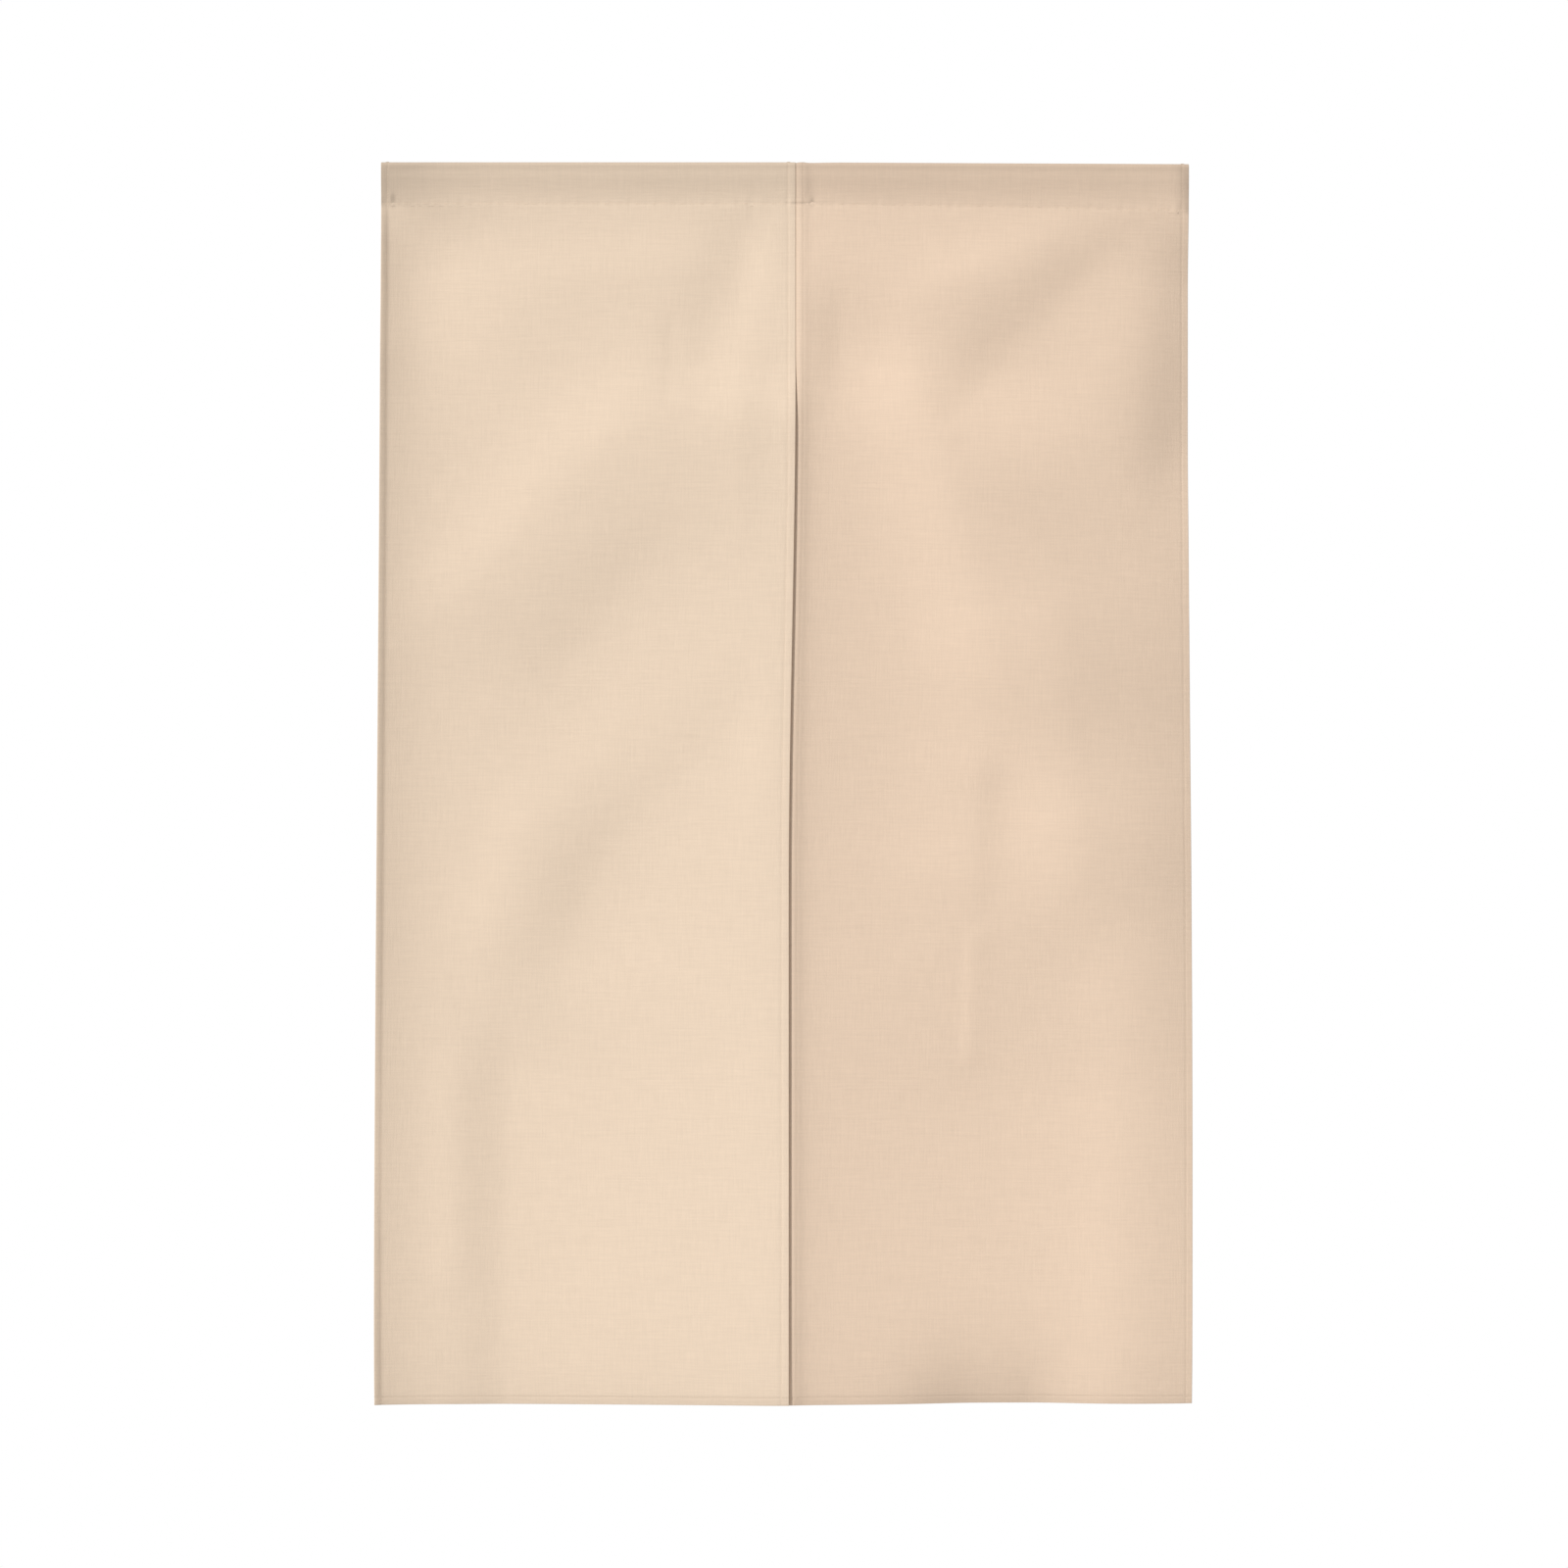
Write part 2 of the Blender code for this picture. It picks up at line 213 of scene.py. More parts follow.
def foldRelief(x, z, folds):
    # for each fold: depth times a bell across its line, which may be steeper on one side, times a softer
    # bell past its ends
    total = np.zeros_like(x)
    for name, topX, topAt, footX, footAt, leftWidth, rightWidth, depth in folds:
        runX, runZ = (footX - topX) * mm, (footAt - topAt) * mm
        length = math.hypot(runX, runZ)
        fromX, fromZ = x - topX * mm, z - topAt * mm
        along = (fromX * runX + fromZ * runZ) / length
        across = (fromZ * runX - fromX * runZ) / length
        pastEnd = np.clip(-along, 0.0, None) + np.clip(along - length, 0.0, None)
        width = np.where(across < 0.0, leftWidth, rightWidth) * mm
        endWidth = foldEnd * min(leftWidth, rightWidth) * mm
        total = total + depth * mm * bell(across, width) * bell(pastEnd, endWidth)
    return total


def sideCurl(curl, atTop, fromSide, hanging):
    # a curl that dies away from the side edge: its share at the top eases to 1 lower down
    return curl * dying(fromSide, hang["curlAway"]) * (atTop + (1.0 - atTop) * hanging)


def growing(drop):
    # share of the full relief at a drop below the stitch line: 1 - (1 - t) squared, steepest at its top
    t = np.clip((drop - hang["plumbBand"]) / hang["reliefGrowsOver"], 0.0, 1.0)
    return 1.0 - (1.0 - t) ** 2


def hemKick(z):
    # the backward kick at the foot, which dies away upwards
    return hang["hemKick"] * np.exp(-np.clip(z - outline["bottomZ"], 0.0, None) / hang["hemKickReach"])


def slitOpening(z):
    # 0 where the panels are joined, easing to 1 where the slit is open
    return ease((-z - outline["slitStart"]) / outline["slitOpensOver"])


def leftRelief(x, z):
    # folds, a ridge at the slit, the stand-off from the panel behind, the side's curl and the hem's kick
    drop = seamZ(x) - z
    hanging = ease(drop / hang["hangGrowsOver"])
    fromSlit = np.clip(slitX(z) - x, 0.0, None)
    fromSide = np.clip(x - leftEdgeX(z), 0.0, None)
    relief = foldRelief(x, z, leftFolds) * ease((fromSlit - outline["underlap"]) / hang["foldsFadeOver"])
    relief = relief + hang["ridgeAtSlit"] * hanging * dying(fromSlit, hang["leftRidge"])
    relief = relief + hang["slitGap"] * slitOpening(z) * dying(fromSlit, hang["slitGapAway"])
    pause, pauseZ, pauseReach = hang["tiltPause"]
    tip = 1.0 - pause * bell(z - pauseZ, pauseReach)
    relief = relief + hang["hemTilt"] * tip * (1.0 - ease(fromSide / hang["hemTiltOver"]))
    curl = sideCurl(hang["leftCurl"], hang["leftCurlAtTop"], fromSide, hanging)
    return hang["seamRelief"] + (relief + curl) * growing(drop) - hemKick(z)


def lapBack(fromSlit, opening):
    # how far the right panel steps back behind the left one's edge, with a soft swell over its wide hem
    recovers = hang["lapRecovers"] + hang["slitRecoversMore"] * opening
    step = (hang["lapStep"] + hang["slitStepMore"] * opening) * (1.0 - ease(fromSlit / recovers))
    swell = hang["hemSwell"] * bell(fromSlit - hang["hemSwellAt"], hang["hemSwellAt"])
    return step - swell * ease(fromSlit / hang["hemSwellStart"])


def rightRelief(x, z):
    # folds, the same ridge at the slit, the curl and the kick, with the lapped strip a step back
    drop = seamZ(x) - z
    hanging = ease(drop / hang["hangGrowsOver"])
    fromSlit = np.clip(x - slitX(z), 0.0, None)
    fromSide = np.clip(rightEdgeX(z) - x, 0.0, None)
    relief = foldRelief(x, z, rightFolds) * ease(fromSlit / hang["foldsFadeOver"])
    relief = relief + hang["ridgeAtSlit"] * hanging * dying(fromSlit, hang["rightRidge"])
    curl = sideCurl(hang["rightCurl"], hang["rightCurlAtTop"], fromSide, hanging)
    relief = relief + hang["slitFall"] * slitOpening(z) * dying(fromSlit, hang["slitFallAway"])
    standing = hang["seamRelief"] + (relief + curl) * growing(drop)
    return standing - lapBack(fromSlit, slitOpening(z)) - hemKick(z)


leftSide = {
    "name": "clothLeft",
    "nodes": ("panel_left", "sleeve_left"),
    "turn": 1.0,                # across runs towards +X
    "edge": leftEdgeX,
    "inner": slitX,
    "relief": leftRelief,
    "sleeveShade": 1.0,          # painted shade on the sleeve, counted in layers, for less light through its doubled cloth
    "endShade": (1.4, 0.060),    # how much painted shade darkens the sleeve at its end, and how far in
    "hemShade": (0.5, 0.0),      # the same painted shade for the outer and the inner hem
    "outerHem": 0.0080,
    "outerStitch": 0.0068,
    "innerHem": 0.0090,
    "innerStitch": 0.0078,
    "innerTurns": 2,
    "nested": False,
}
rightSide = {
    "name": "clothRight",
    "nodes": ("panel_right", "sleeve_right"),
    "turn": -1.0,               # across runs towards -X
    "edge": rightEdgeX,
    "inner": lambda z: slitX(z) - outline["underlap"],
    "relief": rightRelief,
    # painted shade on the right sleeve, at its end and over its hems
    "sleeveShade": 1.25,
    "endShade": (1.8, 0.010),
    "hemShade": (0.2, 0.0),
    "outerHem": 0.0080,
    "outerStitch": 0.0068,
    "innerHem": 0.0222,
    "innerStitch": 0.0210,
    "innerTurns": 1,
    "nested": True,
}


def flatWidth(side):
    # finished width between a panel's two edges at the top
    zero = np.zeros(1)
    return float(abs(side["inner"](zero) - side["edge"](zero))[0])


def hemAt(side, d, soft=0.003):
    # 1 over the side hems and 0 between them, for the outer and the inner edge apart
    fromInner = flatWidth(side) - d
    return 1.0 - ease((d - side["outerHem"]) / soft), 1.0 - ease((fromInner - side["innerHem"]) / soft)


def stackAt(side, d):
    # depth of all layers between the sleeve's front and back sheets at the stitch line: front, turned-in
    # allowance and back, three times as many in a double hem, and the other panel's layers in the lap
    pitch = cloth["layerPitch"]
    outer, inner = hemAt(side, d)
    if side["nested"]:
        return pitch * (2.0 + 6.0 * outer + 3.0 * inner)
    lap = 1.0 - ease((flatWidth(side) - d - outline["underlap"]) / 0.006)
    return pitch * (2.0 + 6.0 * outer + (6.0 - 2.0 * lap) * inner + 5.0 * lap) + hang["lapStep"] * lap


def surface(side, d, v):
    # a point of the cloth's middle layer. d runs in from the outer edge, and v is -1 at the sleeve's back
    # foot, 0 at its crown, 1 at its stitch line in front and 2 at the bottom hem. The sleeve's section is a
    # half circle over the crown, and its sides ease together towards the stitch line
    width = flatWidth(side)
    share = ease(d / width)
    half = 0.5 * cloth["thickness"]
    panelShare = np.clip(v - 1.0, 0.0, None)
    z = -outline["sleeveHeight"] + (outline["bottomZ"] + outline["sleeveHeight"]) * panelShare
    for repeat in range(2):
        grown = np.abs(side["inner"](z) - side["edge"](z)) - width
        x = side["edge"](z) + side["turn"] * (d + grown * share)
        foot = seamZ(x)
        z = foot + (outline["bottomZ"] - foot) * panelShare
    panelRelief = side["relief"](x, z) - half
    within = lapBack(np.clip(x - slitX(0.0), 0.0, None), 0.0) if side["nested"] else 0.0
    frontFoot = hang["seamRelief"] - half - within
    backFoot = frontFoot - stackAt(side, d)
    halfDepth = np.interp(x, sleeveSections[:, 0], sleeveSections[:, 1])
    closeDrop = np.interp(x, sleeveSections[:, 0], sleeveSections[:, 2])
    radius = halfDepth - half - within
    rollZ = topZ(x) - halfDepth
    q = np.abs(v)
    angle = 0.5 * math.pi * np.clip(q / rollShare, 0.0, 1.0)
    downSide = (q - rollShare) / (1.0 - rollShare)
    sleeveZ = np.where(q < rollShare, rollZ + radius * np.cos(angle), rollZ + (foot - rollZ) * downSide)
    closing = np.clip((sleeveZ - foot) / (topZ(x) - closeDrop - foot), 0.0, 1.0)
    closed = evenClosing * closing + (1.0 - evenClosing) * ease(closing)
    full = np.where(q < rollShare, 1.0, closed)
    depth = radius * np.sin(angle)
    frontAt = frontFoot + (depth - frontFoot) * full
    backAt = backFoot + (-depth - backFoot) * full
    frontAt = np.where(q < rollShare, depth, frontAt)
    backAt = np.where(q < rollShare, -depth, backAt)
    inSleeve = v < 1.0
    relief = np.where(inSleeve, np.where(v < 0.0, backAt, frontAt), panelRelief)
    z = np.where(inSleeve, sleeveZ, z)
    relief = relief - seamCrease(x, z, v) - hemGroove(side, d, z, v)
    return np.stack([x, -relief, z], axis=-1)


seam = {
    "pull": 0.00012,
    "pullReach": 0.0016,
    "pucker": 0.00018,
    "puckerAbove": 0.002,
    "puckerReach": 0.006,
    "puckerWaves": (610.0, 47.0, 391.0),    # radians a metre: main wave, its wander, second wave
    "groove": 0.00022,          # depth of the groove along a hem's stitch line
    "grooveReach": 0.0009,
    "innerGrooveReach": 0.0011,
}

# Small tucks by the sleeve's stitch line in mm: x, height above the line, half width, half height, depth,
# # and how much painted shade darkens each crease
seamTucks = [
    (-409.0, 5.0, 2.4, 5.5, 0.5, 1.9),
    (-35.0, -1.0, 2.6, 20.0, 0.25, 0.2),
    (28.0, 2.0, 2.4, 4.2, 0.5, 2.2),
    (16.0, 0.4, 12.0, 1.3, 0.3, 1.5),
    (26.5, 14.0, 4.5, 12.0, 0.2, 0.7),
    (-418.0, -24.0, 5.0, 32.0, 0.0, 1.2),
]


def tucked(x, fromSeam, column):
    # a column of the tuck table, each value times a bell across and a bell up and down
    total = np.zeros_like(fromSeam)
    for row in seamTucks:
        tuckX, above, halfWide, halfTall = (value * mm for value in row[:4])
        total = total + row[column] * bell(x - tuckX, halfWide) * bell(fromSeam - above, halfTall)
    return total


def seamCrease(x, z, v):
    # the stitch line pulls the front in, and small puckers run up and down from it
    fromSeam = z - seamZ(x)
    pull = seam["pull"] * bell(fromSeam, seam["pullReach"])
    main, wander, second = seam["puckerWaves"]
    waves = np.sin(x * main + 1.3 * np.sin(x * wander)) + 0.6 * np.sin(x * second + 2.0)
    puckers = seam["pucker"] * waves * bell(fromSeam - seam["puckerAbove"], seam["puckerReach"])
    return np.where(v > 0.0, pull + puckers + tucked(x, fromSeam, 4) * mm, 0.0)


def hemGroove(side, d, z, v):
    # a shallow groove along each hem's stitch line
    outer = bell(d - side["outerStitch"], seam["grooveReach"])
    inner = bell(flatWidth(side) - d - side["innerStitch"], seam["innerGrooveReach"])
    bottom = bell(z - outline["bottomZ"] - cloth["bottomStitchIn"], seam["grooveReach"])
    return np.where(v > 0.0, seam["groove"] * np.maximum(np.maximum(outer, inner), bottom), 0.0)


def outwards(side, d, v):
    # unit normal on the outer face, from the cross product of small steps down and across
    step = 0.0003
    down = surface(side, d, v + step) - surface(side, d, v - step)
    over = surface(side, d + step, v) - surface(side, d - step, v)
    normal = np.cross(down, over) * side["turn"]
    return normal / np.linalg.norm(normal, axis=-1, keepdims=True)


def singleTurn(hemWidth):
    # a hem turned once: raw edge, back layer, fold. Gives distance in and lift
    pitch = cloth["layerPitch"]
    fold = np.radians([20, 55, 90, 125, 160])
    backShares = np.array([1.0, 0.75, 0.5, 0.25])
    backIn = np.concatenate([hemWidth * backShares, [cloth["rawEdgeIn"], 0.5 * pitch]])
    distance = np.concatenate([backIn, 0.5 * pitch - 0.5 * pitch * np.sin(fold)])
    lift = np.concatenate([np.full(len(backIn), -pitch), -0.5 * pitch - 0.5 * pitch * np.cos(fold)])
    return distance, lift


def doubleTurn(hemWidth):
    # a hem turned twice: raw edge inside, small fold, back layer, big fold. Gives distance in and lift
    pitch = cloth["layerPitch"]
    small = np.radians([30, 75, 105, 150])
    big = np.radians([20, 55, 90, 125, 160])
    rawIn = np.array([cloth["rawEdgeIn"], 0.35 * hemWidth, 0.7 * hemWidth, hemWidth - 0.5 * pitch])
    smallIn = hemWidth - 0.5 * pitch + 0.5 * pitch * np.sin(small)
    backIn = np.array([hemWidth - 0.5 * pitch, 0.7 * hemWidth, 0.35 * hemWidth, cloth["rawEdgeIn"], pitch])
    bigIn = pitch - pitch * np.sin(big)
    distance = np.concatenate([rawIn, smallIn, backIn, bigIn])
    lift = np.concatenate([
        np.full(len(rawIn), -pitch),
        -1.5 * pitch + 0.5 * pitch * np.cos(small),
        np.full(len(backIn), -2.0 * pitch),
        -pitch - pitch * np.cos(big),
    ])
    return distance, lift


def hemStops(hem, stitch, start):
    # grid distances over one hem, from its fold: close at the fold, the stitch line and the inner fold
    inside = np.linspace(0.0013, stitch - 0.0022, max(3, int(stitch / 0.0028)))
    near = stitch + np.array([-0.0011, -0.0004, 0.0004, 0.0011])
    return np.concatenate([[start], inside, near, hem + np.array([0.0012, 0.0028, 0.0050, 0.0080, 0.0115])])


def acrossProfile(side):
    # distance from the outer edge and lift for every column, raw edge to raw edge
    width = flatWidth(side)
    pitch = cloth["layerPitch"]
    outerIn, outerLift = doubleTurn(side["outerHem"])
    innerTurn = doubleTurn if side["innerTurns"] == 2 else singleTurn
    innerIn, innerLift = innerTurn(side["innerHem"])
    outer = hemStops(side["outerHem"], side["outerStitch"], pitch)
    inner = hemStops(side["innerHem"], side["innerStitch"], 0.5 * pitch * side["innerTurns"])
    between = width - outer[-1] - inner[-1]
    count = int(round(between / cloth["gridStep"]))
    middle = outer[-1] + between * np.arange(1, count) / count
    front = np.concatenate([outer, middle, width - inner[::-1]])
    distance = np.concatenate([outerIn, front, width - innerIn[::-1]])
    lift = np.concatenate([outerLift, np.zeros(len(front)), innerLift[::-1]])
    return distance, lift


def downProfile():
    # path position v, lift and a marker for turned rows, from the sleeve's raw edge to the bottom's
    tall = outline["sleeveHeight"]
    long = -outline["bottomZ"] - tall
    pitch = cloth["layerPitch"]
    lowest = 1.0 + cloth["belowSeam"] / tall
    inside = -np.linspace(lowest - cloth["sleeveAllowance"] / tall, lowest, 5)
    turnAngle = np.radians([30, 60, 90, 120, 150])
    turn = -(lowest + 0.5 * pitch * np.sin(turnAngle) / tall)
    back = -np.concatenate([
        np.linspace(lowest, 1.0, 4),
        np.linspace(1.0, rollShare, 14)[1:],
        np.linspace(rollShare, 0.0, 8)[1:],
    ])
    front = np.concatenate([
        np.linspace(0.0, rollShare, 8)[1:],
        np.linspace(rollShare, 0.80, 12)[1:],
        np.linspace(0.80, 1.0, 9)[1:],
    ])
    hemIn, hemLift = doubleTurn(cloth["bottomHem"])
    stitch = cloth["bottomStitchIn"]
    nearSeam = np.array([0.0009, 0.0018, 0.003, 0.0045, 0.0065, 0.009, 0.012, 0.0155, 0.0195])
    nearBottom = np.array([0.020, 0.016, 0.0125, 0.0105, stitch + 0.0010, stitch + 0.0004, stitch - 0.0004,
                           stitch - 0.0010, 0.0055, 0.004, 0.002, pitch])
    run = long - nearSeam[-1] - nearBottom[0]
    count = int(round(run / cloth["rowStep"]))
    between = nearSeam[-1] + run * np.arange(1, count) / count
    panel = 1.0 + np.concatenate([nearSeam, between, long - nearBottom]) / long
    hem = 2.0 - hemIn[::-1] / long
    v = np.concatenate([inside, turn, back, front, panel, hem])
    flat = len(back) + len(front) + len(panel)
    turnLift = -0.5 * pitch - 0.5 * pitch * np.cos(turnAngle)
    lift = np.concatenate([np.full(len(inside), -pitch), turnLift, np.zeros(flat), hemLift[::-1]])
    turned = np.concatenate([np.ones(len(inside) + len(turn)), np.zeros(flat), np.ones(len(hem))])
    metres = np.where(v < 1.0, v * tall, tall + (v - 1.0) * long)
    return v, lift, turned, metres


def running(distance, lift):
    # flat length along a profile, the sum of its straight steps
    steps = np.hypot(np.diff(distance), np.diff(lift))
    return np.concatenate([[0.0], np.cumsum(steps)])


def gridMesh(name, points, flatU, flatV, flip, extra):
    # a grid of points as one mesh, with its flat sizes as the UV map and extra values on its points
    rows, columns = points.shape[:2]
    index = np.arange(rows * columns).reshape(rows, columns)
    a, b = index[:-1, :-1].ravel(), index[1:, :-1].ravel()
    c, d = index[1:, 1:].ravel(), index[:-1, 1:].ravel()
    quads = np.stack([a, d, c, b] if flip else [a, b, c, d], axis=-1)
    mesh = bpy.data.meshes.new(name)
    mesh.vertices.add(rows * columns)
    mesh.vertices.foreach_set("co", points.reshape(-1))
    mesh.loops.add(quads.size)
    mesh.loops.foreach_set("vertex_index", quads.reshape(-1))
    mesh.polygons.add(len(quads))
    mesh.polygons.foreach_set("loop_start", np.arange(len(quads)) * 4)
    mesh.update(calc_edges=True)
    u, v = np.broadcast_to(flatU, (rows, columns)), np.broadcast_to(flatV[:, None], (rows, columns))
    flat = np.stack([u, v], axis=-1).reshape(-1, 2)[quads.reshape(-1)]
    mesh.uv_layers.new(name="flat").data.foreach_set("uv", flat.reshape(-1))
    for label, values in extra.items():
        attribute = mesh.attributes.new(label, "FLOAT", "POINT")
        attribute.data.foreach_set("value", values.reshape(-1))
    mesh.shade_smooth()
    mesh.validate()
    piece = bpy.data.objects.new(name, mesh)
    bpy.context.scene.collection.objects.link(piece)
    return piece


# painted shade, counted in layers: a darker base colour standing in for less light through doubled cloth,
# for shade along the crown and at the sleeve's ends, and for shade in creases
paintedShading = {
    "most": 3.0,
    "crown": 1.4,               # painted shade added along the crown's fold
    "crownFrom": 0.35,          # in shares of the quarter circle
    "crownOver": 1.6,
    "closingFrom": 0.34,        # the sheets come together from this share of the sleeve's height
    "closingOver": 0.5,
    "seamOver": 0.004,
    "hemEdge": 0.0012,
    "bottomHem": 0.5,
}


def paintedShadingAt(side, d, v, base):
    # how much painted shade a point gets, counted in layers from 0 to 3, standing in for less light through
    # doubled
    # # cloth and for shade: most along the crown's fold and at the sleeve's ends, less where the sleeve's
    # two sheets come together, more in the seam's tucks, and in part over hems
    outer, inner = hemAt(side, d, paintedShading["hemEdge"])
    q = np.abs(v)
    endShadeMore, endReach = side["endShade"]
    crown = paintedShading["crown"] * (1.0 - ease((q / rollShare - paintedShading["crownFrom"]) / paintedShading["crownOver"]))
    sleeve = side["sleeveShade"] + crown - ease((q - paintedShading["closingFrom"]) / paintedShading["closingOver"])
    sleeve = (sleeve + endShadeMore * bell(d, endReach)) * (1.0 - ease((v - 1.0) / paintedShading["seamOver"]))
    # painted shade in the seam's tucks and creases
    sleeve = sleeve + np.where(v > 0.0, tucked(base[..., 0], base[..., 2] - seamZ(base[..., 0]), 5), 0.0)
    fromBottom = (2.0 - v) * (-outline["bottomZ"] - outline["sleeveHeight"])
    hemEdge = paintedShading["hemEdge"]
    bottom = 1.0 - ease((fromBottom - cloth["bottomHem"] + 0.5 * hemEdge) / hemEdge)
    outerHemShade, innerHemShade = side["hemShade"]
    sideHems = np.maximum(outerHemShade * outer, innerHemShade * inner)
    hems = np.maximum(sideHems, paintedShading["bottomHem"] * bottom)
    return np.clip(sleeve + hems, 0.0, paintedShading["most"])


def clothPanel(side, material):
    # the whole panel as one sheet, from the sleeve's turned edge over the crown to the bottom hem
    distance, acrossLift = acrossProfile(side)
    v, downLift, turned, metres = downProfile()
    d, path = np.meshgrid(distance, v)
    base = surface(side, d, path)
    normal = outwards(side, d, path)
    outer, inner = hemAt(side, d, 0.006)
    innerMore = 2.0 if side["innerTurns"] == 2 else 1.0
    bulk = 1.0 + (2.0 * outer + innerMore * inner) * turned[:, None]
    lift = acrossLift[None, :] + downLift[:, None] * bulk
    points = base + normal * lift[..., None]
    flatU = running(distance, acrossLift)
    flatV = running(metres, downLift)
    # painted shade counted in layers, carried on the mesh's points
    layerShade = paintedShadingAt(side, d, path, base)
    piece = gridMesh(side["name"], points, flatU, flatV, side["turn"] < 0.0, {"layerShade": layerShade})
    body = piece.modifiers.new("clothBody", "SOLIDIFY")
    body.thickness = cloth["thickness"]
    body.offset = 0.0
    piece.data.materials.append(material)
    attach(piece, "root")
    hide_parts(*side["nodes"])
    print(side["name"], "flat", round(flatU[-1], 4), "x", round(flatV[-1], 4), "grid", points.shape[:2])
    return piece, (float(flatU[-1]), float(flatV[-1]))


sewing = {
    "length": 0.0021,
    "pitch": 0.0027,
    "width": 0.00042,
    "height": 0.00034,
    "rings": 5,
    "sides": 6,
    "crownFree": 0.20,          # no side stitches nearer to the crown than this share of the sleeve
    "backSeamV": -0.995,
    "fromEdge": 0.0015,
    "seamFromEdge": 0.001,
    "pathSamples": 400,
    "aimStep": 0.0006,
}


def stitchShape():
    # one stitch: an ellipsoid that is long and low, as rings from end to end, poles closed
    along = np.cos(np.linspace(0.0, math.pi, sewing["rings"] + 2))
    wide = np.sin(np.linspace(0.0, math.pi, sewing["rings"] + 2)) ** 0.5
    angle = np.linspace(0.0, 2.0 * math.pi, sewing["sides"], endpoint=False)
    halfLong, halfWide, halfHigh = (0.5 * sewing[size] for size in ("length", "width", "height"))
    ends = [(along[0] * halfLong, 0.0, 0.0), (along[-1] * halfLong, 0.0, 0.0)]
    ring = [(along[k] * halfLong, wide[k] * halfWide * np.cos(t), wide[k] * halfHigh * np.sin(t))
            for k in range(1, sewing["rings"] + 1) for t in angle]
    points = np.array([ends[0]] + ring + [ends[1]])
    sides, rings = sewing["sides"], sewing["rings"]
    triangles = []
    for s in range(sides):
        after = (s + 1) % sides
        triangles.append((0, 1 + s, 1 + after))
        for r in range(rings - 1):
            low, high = 1 + r * sides, 1 + (r + 1) * sides
            triangles.append((low + s, high + s, high + after))
            triangles.append((low + s, high + after, low + after))
        last = 1 + (rings - 1) * sides
        triangles.append((last + s, len(points) - 1, last + after))
    return points, np.array(triangles)


def stitchLine(side, dFrom, vFrom, dTo, vTo, lift, outFace):
    # centres, directions and normals of stitches along a straight line on the flat cloth
    tall = outline["sleeveHeight"]
    long = -outline["bottomZ"] - tall
    fine = np.linspace(0.0, 1.0, sewing["pathSamples"])
    d, v = dFrom + (dTo - dFrom) * fine, vFrom + (vTo - vFrom) * fine
    points = surface(side, d, v)
    length = np.concatenate([[0.0], np.cumsum(np.linalg.norm(np.diff(points, axis=0), axis=1))])
    count = max(2, int(length[-1] / sewing["pitch"]))
    at = np.interp((np.arange(count) + 0.5) * length[-1] / count, length, fine)
    d, v = dFrom + (dTo - dFrom) * at, vFrom + (vTo - vFrom) * at
    step = sewing["aimStep"]
    stepD, stepV = (dTo - dFrom), (vTo - vFrom)
    size = math.hypot(stepD, stepV * long)
    ahead = surface(side, d + stepD / size * step, v + stepV / size * step)
    behind = surface(side, d - stepD / size * step, v - stepV / size * step)
    normal = outwards(side, d, v)
    centre = surface(side, d, v) + normal * lift
    direction = (ahead - behind) / np.linalg.norm(ahead - behind, axis=-1, keepdims=True)
    return centre, direction, normal * outFace


def sewnLines(name, lines, material):
    # all the stitches of several lines as one mesh
    shape, triangles = stitchShape()
    centre = np.concatenate([line[0] for line in lines])
    along = np.concatenate([line[1] for line in lines])
    up = np.concatenate([line[2] for line in lines])
    side = np.cross(up, along)
    side = side / np.linalg.norm(side, axis=-1, keepdims=True)
    points = (centre[:, None, :] + shape[None, :, :1] * along[:, None, :]
              + shape[None, :, 1:2] * side[:, None, :] + shape[None, :, 2:] * up[:, None, :])
    faces = triangles[None, :, :] + (np.arange(len(centre)) * len(shape))[:, None, None]
    mesh = bpy.data.meshes.new(name)
    mesh.from_pydata(points.reshape(-1, 3), [], faces.reshape(-1, 3))
    mesh.shade_smooth()
    piece = bpy.data.objects.new(name, mesh)
    bpy.context.scene.collection.objects.link(piece)
    piece.data.materials.append(material)
    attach(piece, "root")
    print(name, "stitches", len(centre), "triangles", faces.shape[0] * faces.shape[1])
    return piece


class Wire:
    # a socket that can be used in sums: each operator adds its Math node

    def __init__(self, shade, socket):
        self.shade = shade
        self.socket = socket

    def math(self, operation, *others):
        return self.shade.node("ShaderNodeMath", {"operation": operation}, dict(enumerate((self, *others))))

    def __add__(self, other):
        return self.math("ADD", other)

    def __radd__(self, other):
        return self.math("ADD", other)

    def __sub__(self, other):
        return self.math("SUBTRACT", other)

    def __rsub__(self, other):
        return self.shade.node("ShaderNodeMath", {"operation": "SUBTRACT"}, {0: other, 1: self})

    def __mul__(self, other):
        return self.math("MULTIPLY", other)

    def __rmul__(self, other):
        return self.math("MULTIPLY", other)

    def __truediv__(self, other):
        return self.math("DIVIDE", other)

    def __abs__(self):
        return self.math("ABSOLUTE")

    def sin(self):
        return self.math("SINE")

    def sign(self):
        return self.math("SIGN")

    def larger(self, other):
        return self.math("MAXIMUM", other)


class Shade:
    # one material: node() adds any node, with its settings set first and then its sockets

    def __init__(self, name):
        self.material = bpy.data.materials.new(name)
        self.material.use_nodes = True
        self.tree = self.material.node_tree
        self.shader = self.tree.nodes["Principled BSDF"]

    def node(self, kind, settings=None, sockets=None, output=0):
        made = self.tree.nodes.new(kind)
        for key, value in (settings or {}).items():
            setattr(made, key, value)
        self.join(made, sockets or {})
        return Wire(self, made.outputs[output])

    def join(self, made, sockets):
        for key, value in sockets.items():
            if isinstance(value, Wire):
                self.tree.links.new(value.socket, made.inputs[key])
            else:
                made.inputs[key].default_value = value

    def finish(self, sockets):
        self.join(self.shader, sockets)
        return self.material


